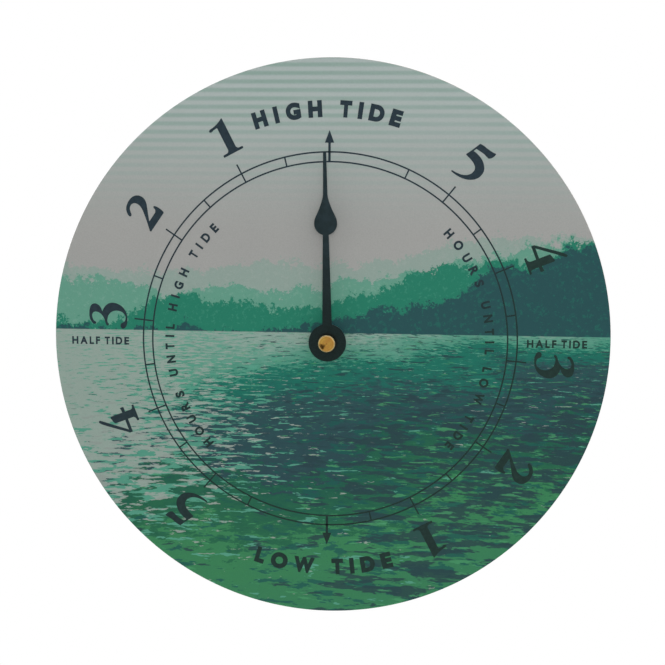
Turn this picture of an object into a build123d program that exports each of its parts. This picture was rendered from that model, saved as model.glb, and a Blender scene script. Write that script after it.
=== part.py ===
from build123d import *
import math
import os

# Tide clock: a round wall dial on a quartz tide movement, with one spade hand.
# Sizes are millimetres and angles degrees. The dial faces -Y, the wall is on the +Y side and
# +Z is up. The origin is where the hand's axis meets the wall, on the movement's flat back.
# A depth is a distance from the wall towards the viewer. A sketch laid at a depth has +X to
# the right and +Z up, as seen from the front.

# Clearances
running_fit = 0.05
loose_fit = 0.1
end_play = 0.1

# Movement case, its cover and its battery bay. The cell sets the case's width and depth, and
# the gear train its height.
case_wall = 1.2
front_wall = 1.5
train_headroom = 1.8
tide_wheel_clearance = 1.3
case_corner_radius = 3
cover_thickness = 1.2
cover_line_width = 0.6
cover_line_depth = 0.25
cover_line_inset = 2.6
knob_line_diameter = 14.8
ejector_mark_diameter = 3.6
ejector_mark_inset = 6.5
lip_depth = 1.5
lip_wall = 1
clip_length = 6
clip_depth = 0.8
clip_reach = 0.5
clip_place_share = 0.35
bay_wall = 1
pivot_hole_depth = 0.8
finger_notch_width = 16
finger_notch_depth = 5

# AA cell and its contacts
cell_diameter = 14
cell_length = 49.2
cell_end_round = 0.6
nub_diameter = 5.5
nub_length = 1
cell_clearance = 0.3
cell_setback = 0.4
contact_room = 1.2
contact_thickness = 0.3
contact_width = 7
strip_width = 1.7
tab_width = 0.7
tab_spacing = 1.5
dimple_diameter = 3
leaf_width = 5
strip_gap = 0.3

# Dial and the stack that clamps it on the movement
disc_diameter = 200
disc_thickness = 3
disc_edge_round = 0.6
face_thickness = 0.4
face_margin = 0.2
hanger_thickness = 1
gasket_diameter = 24
gasket_thickness = 1
washer_diameter = 12.4
washer_thickness = 0.5
nut_across_flats = 10
nut_thickness = 2
bush_edge_chamfer = 0.3
bush_diameter = 7.9
bush_clearance = 0.15
bush_flange_diameter = 11
bush_flange_thickness = 0.8
bush_proud = 0.4

# Wall hanger
hanger_width = 24
hanger_foot_drop = 10
hanger_gap = 0.3
hanger_corner_radius = 4
tab_height = 23
tab_setback = 0.2
keyhole_diameter = 8
keyhole_rise = 10
slot_width = 4
slot_rise = 6

# Spade hand and the pieces that hold it
hand_length = 66.7
hand_thickness = 0.5
hand_face_height = 5.6
hand_lean = 1.4
boss_diameter = 13.3
shank_root_width = 3.6
neck_width = 2.1
blade_height = 41.8
blade_width = 8.05
flare_height = 53.1
stem_width = 1.5
tip_width = 1.1
blade_rise_shares = (0.34, 0.656)
blade_spread_shares = (0.695, 0.347)
collet_diameter = 5.2
collet_gap = 0.3
cap_diameter = 6.2
cap_height = 4.4
cap_knurl_count = 40
cap_knurl_depth = 0.2
cap_rim = 0.3
cap_cone_height = 0.2
cap_pip_diameter = 0.9
cap_pip_depth = 0.4
cap_wall = 1

# Gear teeth: counts and modules from the motor to the hand
rotor_teeth = 8
first_teeth = 48
first_pinion_teeth = 8
second_teeth = 72
second_pinion_teeth = 8
third_teeth = 72
third_pinion_teeth = 8
clutch_teeth = 48
setting_teeth = 9
tide_teeth = 69
motor_module = 0.18
second_module = 0.18
third_module = 0.2
clutch_module = 0.32
tide_module = 0.28
wheel_tooth_share = 0.42
pinion_tooth_share = 0.37
tooth_tip_share = 0.17
addendum_share = 0.9
dedendum_share = 1.3

# Directions from each arbor to the next, counted from +X towards +Z
setting_bearing = 50
third_bearing = 20
second_bearing = 120
first_bearing = 180
rotor_bearing = 180

# Wheels and arbors
tide_wheel_thickness = 1
wheel_thickness = 0.8
level_gap = 1
pinion_overhang = 0.2
arbor_diameter = 1
setting_arbor_diameter = 2
tide_arbor_diameter = 3.2
tide_tail_diameter = 2.4
tide_pivot_diameter = 1.6
tide_pivot_length = 1.2
thread_diameter = 2.5
hub_wall = 1
hub_overhang = 0.9
window_count = 4
window_ring_share = 0.55
window_size_share = 0.2

# Slipping clutch and setting knob
collar_diameter = 4
spring_diameter = 6
spring_thickness = 0.3
spring_slot_count = 3
spring_slot_width = 0.8
knob_diameter = 8.4
knob_thickness = 1.6
knob_setback = 0.4
knob_clearance = 0.7
knob_notch_count = 18
knob_notch_diameter = 0.7
grip_width = 1.6
grip_height = 1
knob_socket_depth = 1.4

# Train bridge and its posts
bridge_depth = 3.6
bridge_thickness = 1
bridge_rim = 0.5
bridge_top_gap = 1.5
bridge_corner_radius = 1.5
post_diameter = 3
corner_post_inset = 4.1
side_post_inset = 6.3
side_post_drop = 2
left_post_reach = 11.5
left_post_drop = 6
screw_diameter = 1.8
screw_length = 4
screw_head_diameter = 3.4
screw_head_height = 0.8
screw_slot_width = 0.5
screw_slot_depth = 0.4

# Stepping motor: stator, core, coil and rotor
stator_depth = 9.4
stator_thickness = 1.2
stator_setback = 1.2
stator_leg_width = 5
yoke_width = 2.4
right_yoke_centre = -3
core_height = 7
pole_diameter = 8.6
magnet_diameter = 5.6
magnet_thickness = 3
magnet_hub_diameter = 2
air_gap = 0.4
tie_post_reach = 5.5
tie_post_inset = 3.3
tie_post_diameter = 4.4
tie_stud_diameter = 2.8
tie_ear_diameter = 4.6
bobbin_diameter = 3.8
flange_diameter = 7.2
flange_thickness = 0.8
flange_gap = 0.4
winding_diameter = 6.6
rivet_diameter = 1.2
rivet_head_diameter = 2
rivet_head_height = 0.4
lead_diameter = 0.3

# Circuit board, and the places on it as shares of its width and height
board_setback = 4.8
board_top_gap = 1.3
board_post_gap = 0.3
board_coil_gap = 0.4
board_thickness = 0.8
board_lift = 1.1
board_hole_inset = 1.8
pad_diameter = 2.6
chip_size = 5
chip_thickness = 0.9
chip_shares = (0.39, 0.2)
crystal_diameter = 2
crystal_length = 6
crystal_shares = (0.43, 0.84)
lead_shares = (0.125, 0.68)
board_screw_diameter = 1.2
board_screw_length = 1.6
board_screw_head_diameter = 2.2
board_screw_head_height = 0.6

base_align = (Align.CENTER, Align.CENTER, Align.MIN)


def at_depth(depth, centre=(0, 0), lean=0):
    """Return the plane at a depth from the wall, centred on a point of the dial."""
    return Plane.XZ.offset(depth) * Pos(centre[0], centre[1]) * Rot(0, 0, lean)


def away(start, distance, bearing):
    """Return the point at a distance and bearing from another point."""
    turn = math.radians(bearing)
    return (start[0] + distance * math.cos(turn), start[1] + distance * math.sin(turn))


def mesh_distance(teeth, other_teeth, module):
    """Return the centre distance of two meshed gears."""
    return (teeth + other_teeth) * module / 2


def gear_reach(teeth, module):
    """Return the distance from a gear's axis to its tooth tips."""
    return (teeth / 2 + addendum_share) * module


def answering_phase(bearing, teeth):
    """Return the phase that turns a gap of a gear to the tooth that points at it."""
    return bearing + 180 + 180 / teeth


def gear_points(teeth, module, tooth_share, phase):
    """Return a gear's outline, with the middle of its first tooth at the phase angle."""
    pitch = 360 / teeth
    root_share = 2 * tooth_share - tooth_tip_share
    profile = (
        (teeth / 2 - dedendum_share, -root_share / 2),
        (teeth / 2, -tooth_share / 2),
        (teeth / 2 + addendum_share, -tooth_tip_share / 2),
        (teeth / 2 + addendum_share, tooth_tip_share / 2),
        (teeth / 2, tooth_share / 2),
        (teeth / 2 - dedendum_share, root_share / 2),
    )
    points = []
    for tooth in range(teeth):
        for reach, step in profile:
            points.append(away((0, 0), reach * module, phase + (tooth + step) * pitch))
    return points


def rod(depth, length, diameter, centre=(0, 0), mode=Mode.ADD):
    """Add or cut a round rod that starts at a depth and runs towards the viewer."""
    with Locations(at_depth(depth, centre)):
        Cylinder(diameter / 2, length, align=base_align, mode=mode)


def slab(low, high, mode=Mode.ADD):
    """Add or cut a block between two corners given as (across, depth, up)."""
    size = [high[i] - low[i] for i in range(3)]
    middle = [(high[i] + low[i]) / 2 for i in range(3)]
    with Locations((middle[0], -middle[1], middle[2])):
        Box(size[0], size[1], size[2], mode=mode)


def gear(depth, thickness, teeth, module, tooth_share, phase, centre=(0, 0), mode=Mode.ADD):
    """Add a gear that starts at a depth."""
    with BuildSketch(at_depth(depth, centre)) as outline:
        with BuildLine():
            Polyline(*gear_points(teeth, module, tooth_share, phase), close=True)
        make_face()
    extrude(outline.sketch, amount=thickness, mode=mode)


def windows(depth, thickness, teeth, module, centre):
    """Cut the lightening windows out of a wheel."""
    pitch_radius = teeth * module / 2
    with Locations(at_depth(depth, centre)):
        with PolarLocations(pitch_radius * window_ring_share, window_count):
            Cylinder(pitch_radius * window_size_share, thickness, align=base_align, mode=Mode.SUBTRACT)


def screw(depth, centre, shank_diameter, shank_length, head_diameter, head_height):
    """Add a slotted screw whose head is seated at a depth, with its shank towards the viewer."""
    rod(depth, shank_length, shank_diameter, centre)
    rod(depth - head_height, head_height, head_diameter, centre)
    with Locations(at_depth(depth - head_height, centre)):
        Box(head_diameter, screw_slot_width, screw_slot_depth, align=base_align, mode=Mode.SUBTRACT)


def finish(name, piece):
    """Label a finished piece and write it."""
    piece.part.label = name
    export_step(piece.part, "parts/" + name + ".step")


os.makedirs("parts", exist_ok=True)

# Depths of the case and of the stack in front of it
inner_front = cell_setback + cell_diameter + loose_fit
case_depth = inner_front + front_wall
hanger_rear = case_depth
gasket_rear = hanger_rear + hanger_thickness
disc_rear = gasket_rear + gasket_thickness
face_rear = disc_rear + disc_thickness
washer_rear = face_rear + face_thickness
nut_rear = washer_rear + washer_thickness
bush_front = nut_rear + nut_thickness + bush_proud
hand_front = face_rear + face_thickness + hand_face_height
hand_rear = hand_front - hand_thickness
shoulder_depth = bush_front + collet_gap

# Depths of the wheels, each level behind the one before
tide_wheel_rear = inner_front - hub_overhang / 2 - end_play - tide_wheel_thickness
clutch_wheel_rear = tide_wheel_rear - level_gap - wheel_thickness
third_wheel_rear = clutch_wheel_rear - level_gap - wheel_thickness
second_wheel_rear = third_wheel_rear - level_gap - wheel_thickness
first_wheel_rear = second_wheel_rear - level_gap - wheel_thickness
bridge_front = bridge_depth + bridge_thickness

# Places of the arbors, from the hand back to the motor
tide_place = (0, 0)
tide_mesh = mesh_distance(tide_teeth, setting_teeth, tide_module)
clutch_mesh = mesh_distance(clutch_teeth, third_pinion_teeth, clutch_module)
third_mesh = mesh_distance(third_teeth, second_pinion_teeth, third_module)
second_mesh = mesh_distance(second_teeth, first_pinion_teeth, second_module)
motor_mesh = mesh_distance(first_teeth, rotor_teeth, motor_module)
setting_place = away(tide_place, tide_mesh, setting_bearing)
third_place = away(setting_place, clutch_mesh, third_bearing)
second_place = away(third_place, third_mesh, second_bearing)
first_place = away(second_place, second_mesh, first_bearing)
rotor_place = away(first_place, motor_mesh, rotor_bearing)
train_places = (third_place, second_place, first_place, rotor_place)

# Case sides and the battery bay, measured from the hand's axis
inner_side = cell_length / 2 + nub_length + contact_room
inner_top = second_place[1] + gear_reach(second_teeth, second_module) + train_headroom
bay_ceiling = -gear_reach(tide_teeth, tide_module) - tide_wheel_clearance
bay_top = bay_ceiling - bay_wall
cell_axis_height = bay_top - cell_clearance - cell_diameter / 2
cell_axis_depth = inner_front - loose_fit - cell_diameter / 2
inner_bottom = cell_axis_height - cell_diameter / 2 - cell_clearance
case_side = inner_side + case_wall
case_top = inner_top + case_wall
case_bottom = inner_bottom - case_wall
clip_climb = (inner_top - bay_ceiling) * clip_place_share
clip_places = (bay_ceiling + clip_climb, inner_top * (1 - clip_place_share))
clip_rear = cover_thickness + (lip_depth - clip_depth) / 2

# Bridge posts and the bridge round them
tie_post = (-tie_post_reach, inner_top - tie_post_inset)
bridge_posts = (
    (inner_side - corner_post_inset, inner_top - corner_post_inset),
    (inner_side - side_post_inset, -side_post_drop),
    (-left_post_reach, -left_post_drop),
)
bridge_right = bridge_posts[0][0] + post_diameter / 2 + bridge_rim
bridge_left = -left_post_reach - post_diameter / 2 - bridge_rim
bridge_bottom = -left_post_drop - post_diameter / 2 - bridge_rim
bridge_top = inner_top - bridge_top_gap

# Motor and board places
stator_left = stator_setback - inner_side
stator_front = stator_depth + stator_thickness
core_rear = stator_depth - stator_thickness
core_axis_depth = core_rear + stator_thickness / 2
left_yoke_centre = stator_left + yoke_width / 2
stator_posts = ((left_yoke_centre, core_height), (left_yoke_centre, rotor_place[1]))
board_rear = inner_front - board_lift - board_thickness
board_front = board_rear + board_thickness
board_left = board_setback - inner_side
board_right = tie_post[0] - tie_post_diameter / 2 - board_post_gap
board_bottom = core_height + flange_diameter / 2 + board_coil_gap
board_top = inner_top - board_top_gap
board_holes = (
    (board_right - board_hole_inset, board_bottom + board_hole_inset),
    (board_right - board_hole_inset, board_top - board_hole_inset),
)


def on_board(shares):
    """Return the point at these shares of the board's width and height."""
    across = board_left + shares[0] * (board_right - board_left)
    return (across, board_bottom + shares[1] * (board_top - board_bottom))


# Movement case
with BuildPart() as movement_case:
    with BuildSketch(Plane.XZ):
        with Locations((0, (case_top + case_bottom) / 2)):
            RectangleRounded(2 * case_side, case_top - case_bottom, case_corner_radius)
    extrude(amount=case_depth)
    slab((-inner_side, 0, bay_ceiling), (inner_side, inner_front, inner_top), Mode.SUBTRACT)
    slab((-inner_side, 0, inner_bottom), (inner_side, inner_front, bay_top), Mode.SUBTRACT)
    slab((-case_side, 0, bay_top), (case_side, cover_thickness, case_top), Mode.SUBTRACT)
    slab(
        (-finger_notch_width / 2, 0, case_bottom),
        (finger_notch_width / 2, finger_notch_depth, inner_bottom),
        Mode.SUBTRACT,
    )
    # Windows for the cover's clips
    for height in clip_places:
        slab(
            (-case_side, clip_rear - loose_fit, height - clip_length / 2 - loose_fit),
            (case_side, clip_rear + clip_depth + loose_fit, height + clip_length / 2 + loose_fit),
            Mode.SUBTRACT,
        )
    # Slots that let the contact strips out of the bay
    slab(
        (-inner_side, core_rear, bay_top),
        (-inner_side + contact_thickness + loose_fit, board_rear + loose_fit, bay_ceiling),
        Mode.SUBTRACT,
    )
    slab(
        (inner_side - contact_thickness - loose_fit, board_rear - strip_width - loose_fit, bay_top),
        (inner_side, board_rear + loose_fit, bay_ceiling),
        Mode.SUBTRACT,
    )
    # Posts for the bridge, the stator and the board
    for place in bridge_posts:
        rod(bridge_front, inner_front - bridge_front, post_diameter, place)
    rod(stator_front, inner_front - stator_front, tie_post_diameter, tie_post)
    rod(bridge_front, stator_front - bridge_front, tie_stud_diameter, tie_post)
    for place in stator_posts:
        rod(stator_front, inner_front - stator_front, yoke_width, place)
    for place in board_holes:
        rod(board_front, board_lift, pad_diameter, place)
    # Screw holes
    board_thread_length = board_screw_length - board_thickness
    for place in bridge_posts + (tie_post,):
        rod(bridge_front, screw_length - bridge_thickness, screw_diameter, place, Mode.SUBTRACT)
    for place in stator_posts:
        rod(stator_front, board_screw_length, board_screw_diameter, place, Mode.SUBTRACT)
    for place in board_holes:
        rod(board_front, board_thread_length, board_screw_diameter, place, Mode.SUBTRACT)
    # Seat of the centre bush and the front pivot holes
    rod(inner_front, bush_flange_thickness, bush_flange_diameter, tide_place, Mode.SUBTRACT)
    rod(inner_front, front_wall, bush_diameter, tide_place, Mode.SUBTRACT)
    for place in train_places:
        rod(inner_front, pivot_hole_depth, arbor_diameter + 2 * running_fit, place, Mode.SUBTRACT)
    rod(inner_front, pivot_hole_depth, setting_arbor_diameter + 2 * running_fit, setting_place, Mode.SUBTRACT)
finish("movement_case", movement_case)

# Rear cover: a plate with a locating lip and side clips
with BuildPart() as movement_cover:
    with BuildSketch(Plane.XZ):
        with Locations((0, (case_top + case_bottom) / 2)):
            RectangleRounded(2 * case_side, case_top - case_bottom, case_corner_radius)
    extrude(amount=cover_thickness)
    slab((-case_side, 0, case_bottom), (case_side, cover_thickness, bay_top), Mode.SUBTRACT)
    lip_side = inner_side - loose_fit
    lip_top = inner_top - loose_fit
    lip_bottom = bay_ceiling + loose_fit
    lip_front = cover_thickness + lip_depth
    slab((-lip_side, cover_thickness, lip_bottom), (lip_side, lip_front, lip_top))
    slab(
        (-lip_side + lip_wall, cover_thickness, lip_bottom + lip_wall),
        (lip_side - lip_wall, lip_front, lip_top - lip_wall),
        Mode.SUBTRACT,
    )
    for height in clip_places:
        for side in (-1, 1):
            inner = side * lip_side
            outer = side * (inner_side + clip_reach)
            slab(
                (min(inner, outer), clip_rear, height - clip_length / 2),
                (max(inner, outer), clip_rear + clip_depth, height + clip_length / 2),
            )
    rod(0, cover_thickness, knob_diameter + 2 * knob_clearance, setting_place, Mode.SUBTRACT)
    # Sunk lines round the edge and the knob, and four ejector marks
    line_side = case_side - cover_line_inset
    line_rise = (case_top - bay_top) / 2 - cover_line_inset
    mark_side = case_side - ejector_mark_inset
    mark_rise = (case_top - bay_top) / 2 - ejector_mark_inset
    with BuildSketch(Plane.XZ):
        with Locations((0, (case_top + bay_top) / 2)):
            Rectangle(2 * line_side, 2 * line_rise)
            Rectangle(2 * (line_side - cover_line_width), 2 * (line_rise - cover_line_width), mode=Mode.SUBTRACT)
            with GridLocations(2 * mark_side, 2 * mark_rise, 2, 2):
                Circle(ejector_mark_diameter / 2)
        with Locations(setting_place):
            Circle(knob_line_diameter / 2)
            Circle(knob_line_diameter / 2 - cover_line_width, mode=Mode.SUBTRACT)
    extrude(amount=cover_line_depth, mode=Mode.SUBTRACT)
finish("movement_cover", movement_cover)

# Centre bush: flanged inside the case, threaded for the dial nut
bush_bore = tide_arbor_diameter + 2 * running_fit
with BuildPart() as centre_bush:
    rod(inner_front, bush_flange_thickness, bush_flange_diameter)
    rod(inner_front, bush_front - inner_front, bush_diameter)
    rod(inner_front, bush_front - inner_front, bush_bore, tide_place, Mode.SUBTRACT)
    chamfer(centre_bush.edges().group_by(Axis.Y)[0].sort_by(SortBy.RADIUS)[-1], bush_edge_chamfer)
finish("centre_bush", centre_bush)

# AA cell lying along the bay
with BuildPart() as battery:
    with BuildSketch(Plane.YZ.offset(-cell_length / 2)):
        with Locations((-cell_axis_depth, cell_axis_height)):
            Circle(cell_diameter / 2)
    extrude(amount=cell_length)
    fillet(battery.edges().filter_by(GeomType.CIRCLE), cell_end_round)
    with BuildSketch(Plane.YZ.offset(cell_length / 2)):
        with Locations((-cell_axis_depth, cell_axis_height)):
            Circle(nub_diameter / 2)
    extrude(amount=nub_length)
finish("battery", battery)

# Positive contact: a plate with a dimple, and a strip over the bay to the board
strip_left = -inner_side + contact_thickness + strip_gap
positive_tab_height = board_bottom + tab_width
with BuildPart() as positive_contact:
    slab(
        (inner_side - contact_thickness, cell_axis_depth - contact_width / 2, inner_bottom + bay_wall),
        (inner_side, cell_axis_depth + contact_width / 2, bay_top),
    )
    slab(
        (inner_side - contact_thickness, board_rear - strip_width, bay_top - contact_width),
        (inner_side, board_rear, bay_ceiling + contact_thickness),
    )
    slab(
        (strip_left, board_rear - strip_width, bay_ceiling),
        (inner_side, board_rear, bay_ceiling + contact_thickness),
    )
    slab(
        (strip_left, board_rear - strip_width, bay_ceiling),
        (strip_left + contact_thickness, board_rear, positive_tab_height),
    )
    slab(
        (strip_left, board_rear - contact_thickness, positive_tab_height - tab_width),
        (board_left + tab_spacing, board_rear, positive_tab_height),
    )
    with BuildSketch(Plane.YZ.offset(cell_length / 2 + nub_length)):
        with Locations((-cell_axis_depth, cell_axis_height)):
            Circle(dimple_diameter / 2)
    extrude(amount=inner_side - cell_length / 2 - nub_length)
finish("positive_contact", positive_contact)

# Negative contact: a leaf folded against the cell, and a strip up the side to the board
leaf_bottom = cell_axis_height - leaf_width
leaf_top = cell_axis_height + leaf_width
negative_tab_height = positive_tab_height + tab_spacing
with BuildPart() as negative_contact:
    slab(
        (-inner_side, cell_axis_depth - contact_width / 2, inner_bottom + bay_wall),
        (-inner_side + contact_thickness, cell_axis_depth + contact_width / 2, bay_top),
    )
    slab(
        (-inner_side, board_rear - strip_width, bay_top - contact_width),
        (-inner_side + contact_thickness, board_rear, negative_tab_height),
    )
    slab(
        (-inner_side, board_rear - contact_thickness, negative_tab_height - tab_width),
        (board_left + tab_spacing, board_rear, negative_tab_height),
    )
    # The leaf springs out from its lower end and presses on the cell with its fold
    with BuildSketch(Plane.XZ.offset(cell_axis_depth - leaf_width / 2)):
        with BuildLine():
            Polyline(
                (-inner_side + contact_thickness, leaf_bottom),
                (-cell_length / 2, cell_axis_height),
                (-inner_side + 2 * contact_thickness, leaf_top),
                (-inner_side + contact_thickness, leaf_top),
                (-cell_length / 2 - 2 * contact_thickness, cell_axis_height),
                (-inner_side + contact_thickness, leaf_bottom + 2 * contact_thickness),
                close=True,
            )
        make_face()
    extrude(amount=leaf_width)
finish("negative_contact", negative_contact)

# Circuit board and what is soldered to it
with BuildPart() as circuit_board:
    slab((board_left, board_rear, board_bottom), (board_right, board_front, board_top))
    for place in board_holes:
        rod(board_rear, board_thickness, board_screw_diameter, place, Mode.SUBTRACT)
finish("circuit_board", circuit_board)

chip_place = on_board(chip_shares)
with BuildPart() as control_chip:
    with Locations(at_depth(board_rear - chip_thickness, chip_place)):
        Box(chip_size, chip_size, chip_thickness, align=base_align)
finish("control_chip", control_chip)

crystal_place = on_board(crystal_shares)
with BuildPart() as quartz_crystal:
    with BuildSketch(Plane.YZ.offset(crystal_place[0] - crystal_length / 2)):
        with Locations((-board_rear + crystal_diameter / 2, crystal_place[1])):
            Circle(crystal_diameter / 2)
    extrude(amount=crystal_length)
finish("quartz_crystal", quartz_crystal)

with BuildPart() as board_screws:
    for place in board_holes:
        screw(
            board_rear, place, board_screw_diameter, board_screw_length,
            board_screw_head_diameter, board_screw_head_height,
        )
finish("board_screws", board_screws)

# Stator: two legs round the rotor, open at the bottom for the coil's core
leg_top = rotor_place[1] + stator_leg_width / 2
with BuildPart() as stator:
    with BuildSketch(Plane.XZ.offset(stator_depth)):
        with Locations((0, rotor_place[1])):
            with Locations(((rotor_place[0] + stator_left) / 2, 0)):
                Rectangle(rotor_place[0] - stator_left, stator_leg_width)
        for across in (left_yoke_centre, right_yoke_centre):
            with Locations((across, (core_height - yoke_width / 2 + leg_top) / 2)):
                Rectangle(yoke_width, leg_top - core_height + yoke_width / 2)
        with Locations(rotor_place):
            Circle(pole_diameter / 2)
        with Locations(tie_post):
            Circle(tie_ear_diameter / 2)
        with Locations((tie_post[0], (tie_post[1] + rotor_place[1]) / 2)):
            Rectangle(tie_ear_diameter, tie_post[1] - rotor_place[1])
        with Locations(rotor_place):
            Circle(magnet_diameter / 2 + air_gap, mode=Mode.SUBTRACT)
        with Locations(tie_post):
            Circle(tie_stud_diameter / 2 + loose_fit, mode=Mode.SUBTRACT)
        with Locations(*stator_posts):
            Circle(board_screw_diameter / 2, mode=Mode.SUBTRACT)
        with Locations((right_yoke_centre, core_height)):
            Circle(rivet_diameter / 2, mode=Mode.SUBTRACT)
    extrude(amount=stator_thickness)
finish("stator", stator)

# Core bar through the coil, lapped onto the stator's two yokes
core_right = right_yoke_centre + yoke_width / 2
with BuildPart() as coil_core:
    slab(
        (stator_left, core_rear, core_height - yoke_width / 2),
        (core_right, stator_depth, core_height + yoke_width / 2),
    )
    rod(core_rear, stator_thickness, board_screw_diameter, stator_posts[0], Mode.SUBTRACT)
    rod(core_rear, stator_thickness, rivet_diameter, (right_yoke_centre, core_height), Mode.SUBTRACT)
finish("coil_core", coil_core)

with BuildPart() as core_screws:
    screw(
        core_rear, stator_posts[0], board_screw_diameter, board_screw_length + 2 * stator_thickness,
        board_screw_head_diameter, board_screw_head_height,
    )
    screw(
        stator_depth, stator_posts[1], board_screw_diameter, board_screw_length + stator_thickness,
        board_screw_head_diameter, board_screw_head_height,
    )
finish("core_screws", core_screws)

with BuildPart() as core_rivet:
    rivet_place = (right_yoke_centre, core_height)
    rod(core_rear - rivet_head_height, rivet_head_height, rivet_head_diameter, rivet_place)
    rod(core_rear, 2 * stator_thickness, rivet_diameter, rivet_place)
    rod(stator_front, rivet_head_height, rivet_head_diameter, rivet_place)
finish("core_rivet", core_rivet)

# Coil: a flanged bobbin on the core, and its winding as one smooth sleeve
bobbin_left = left_yoke_centre + yoke_width / 2 + flange_gap
bobbin_right = right_yoke_centre - yoke_width / 2 - flange_gap - flange_thickness
with BuildPart() as coil_bobbin:
    with BuildSketch(Plane.YZ.offset(bobbin_left)):
        with Locations((-core_axis_depth, core_height)):
            Circle(bobbin_diameter / 2)
    extrude(amount=bobbin_right - bobbin_left)
    for start in (bobbin_left, bobbin_right - flange_thickness):
        with BuildSketch(Plane.YZ.offset(start)):
            with Locations((-core_axis_depth, core_height)):
                Circle(flange_diameter / 2)
        extrude(amount=flange_thickness)
    slab(
        (bobbin_left, core_rear - loose_fit, core_height - yoke_width / 2 - loose_fit),
        (bobbin_right, stator_depth + loose_fit, core_height + yoke_width / 2 + loose_fit),
        Mode.SUBTRACT,
    )
finish("coil_bobbin", coil_bobbin)

with BuildPart() as coil_winding:
    with BuildSketch(Plane.YZ.offset(bobbin_left + flange_thickness)):
        with Locations((-core_axis_depth, core_height)):
            Circle(winding_diameter / 2)
            Circle(bobbin_diameter / 2, mode=Mode.SUBTRACT)
    extrude(amount=bobbin_right - bobbin_left - 2 * flange_thickness)
finish("coil_winding", coil_winding)

# Two wires from the winding to the board
with BuildPart() as coil_leads:
    for share in lead_shares:
        across = board_left + share * (board_right - board_left)
        with BuildLine() as wire:
            Line(
                (across, -core_axis_depth, core_height + winding_diameter / 2),
                (across, -board_rear, board_bottom + tab_spacing),
            )
        with BuildSketch(wire.line ^ 0) as section:
            Circle(lead_diameter / 2)
        sweep(section.sketch, wire.line)
finish("coil_leads", coil_leads)

# Train bridge
with BuildPart() as train_bridge:
    with BuildSketch(Plane.XZ.offset(bridge_depth)):
        with Locations(((bridge_left + bridge_right) / 2, (bridge_bottom + bridge_top) / 2)):
            RectangleRounded(bridge_right - bridge_left, bridge_top - bridge_bottom, bridge_corner_radius)
        with Locations(*train_places):
            Circle(arbor_diameter / 2 + running_fit, mode=Mode.SUBTRACT)
        with Locations(setting_place):
            Circle(setting_arbor_diameter / 2 + running_fit, mode=Mode.SUBTRACT)
        with Locations(tide_place):
            Circle(tide_pivot_diameter / 2 + running_fit, mode=Mode.SUBTRACT)
        with Locations(*(bridge_posts + (tie_post,))):
            Circle(screw_diameter / 2, mode=Mode.SUBTRACT)
    extrude(amount=bridge_thickness)
finish("train_bridge", train_bridge)

with BuildPart() as bridge_screws:
    for place in bridge_posts + (tie_post,):
        screw(bridge_depth, place, screw_diameter, screw_length, screw_head_diameter, screw_head_height)
finish("bridge_screws", bridge_screws)

# Rotor: a pinion moulded with its arbor, and the ring magnet on it
pivot_front = inner_front + pivot_hole_depth - end_play
pivot_rear = bridge_depth + end_play
magnet_rear = (stator_depth + stator_front - magnet_thickness) / 2
magnet_seat_length = magnet_thickness + 2 * pinion_overhang
with BuildPart() as rotor_pinion:
    rod(pivot_rear, pivot_front - pivot_rear, arbor_diameter, rotor_place)
    gear(
        first_wheel_rear - pinion_overhang, wheel_thickness + 2 * pinion_overhang,
        rotor_teeth, motor_module, pinion_tooth_share,
        answering_phase(rotor_bearing, rotor_teeth), rotor_place,
    )
    rod(magnet_rear - pinion_overhang, magnet_seat_length, magnet_hub_diameter, rotor_place)
finish("rotor_pinion", rotor_pinion)

with BuildPart() as rotor_magnet:
    rod(magnet_rear, magnet_thickness, magnet_diameter, rotor_place)
    rod(magnet_rear, magnet_thickness, magnet_hub_diameter, rotor_place, Mode.SUBTRACT)
finish("rotor_magnet", rotor_magnet)


def train_wheel(
    place, wheel_rear, teeth, module, bearing,
    pinion_rear, pinion_teeth, pinion_module, pinion_bearing,
):
    """Build a wheel moulded in one with its pinion and arbor.

    The wheel has a tooth at its own bearing, towards the pinion that drives it. The pinion
    has a gap towards the wheel that it drives, which lies back along the pinion's bearing.
    """
    with BuildPart() as wheel:
        gear(wheel_rear, wheel_thickness, teeth, module, wheel_tooth_share, bearing, place)
        windows(wheel_rear, wheel_thickness, teeth, module, place)
        gear(
            pinion_rear - pinion_overhang, wheel_thickness + 2 * pinion_overhang,
            pinion_teeth, pinion_module, pinion_tooth_share,
            answering_phase(pinion_bearing, pinion_teeth), place,
        )
        rod(pivot_rear, pivot_front - pivot_rear, arbor_diameter, place)
    return wheel


first_wheel = train_wheel(
    first_place, first_wheel_rear, first_teeth, motor_module, rotor_bearing,
    second_wheel_rear, first_pinion_teeth, second_module, first_bearing,
)
finish("first_wheel", first_wheel)

second_wheel = train_wheel(
    second_place, second_wheel_rear, second_teeth, second_module, first_bearing,
    third_wheel_rear, second_pinion_teeth, third_module, second_bearing,
)
finish("second_wheel", second_wheel)

third_wheel = train_wheel(
    third_place, third_wheel_rear, third_teeth, third_module, second_bearing,
    clutch_wheel_rear, third_pinion_teeth, clutch_module, third_bearing,
)
finish("third_wheel", third_wheel)

# Clutch wheel: free on the setting arbor, gripped by the clutch spring
clutch_wheel_front = clutch_wheel_rear + wheel_thickness
clutch_bore = setting_arbor_diameter + 2 * running_fit
with BuildPart() as clutch_wheel:
    gear(
        clutch_wheel_rear, wheel_thickness, clutch_teeth, clutch_module, wheel_tooth_share,
        third_bearing, setting_place,
    )
    windows(clutch_wheel_rear, wheel_thickness, clutch_teeth, clutch_module, setting_place)
    rod(clutch_wheel_rear, wheel_thickness, clutch_bore, setting_place, Mode.SUBTRACT)
finish("clutch_wheel", clutch_wheel)

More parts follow.
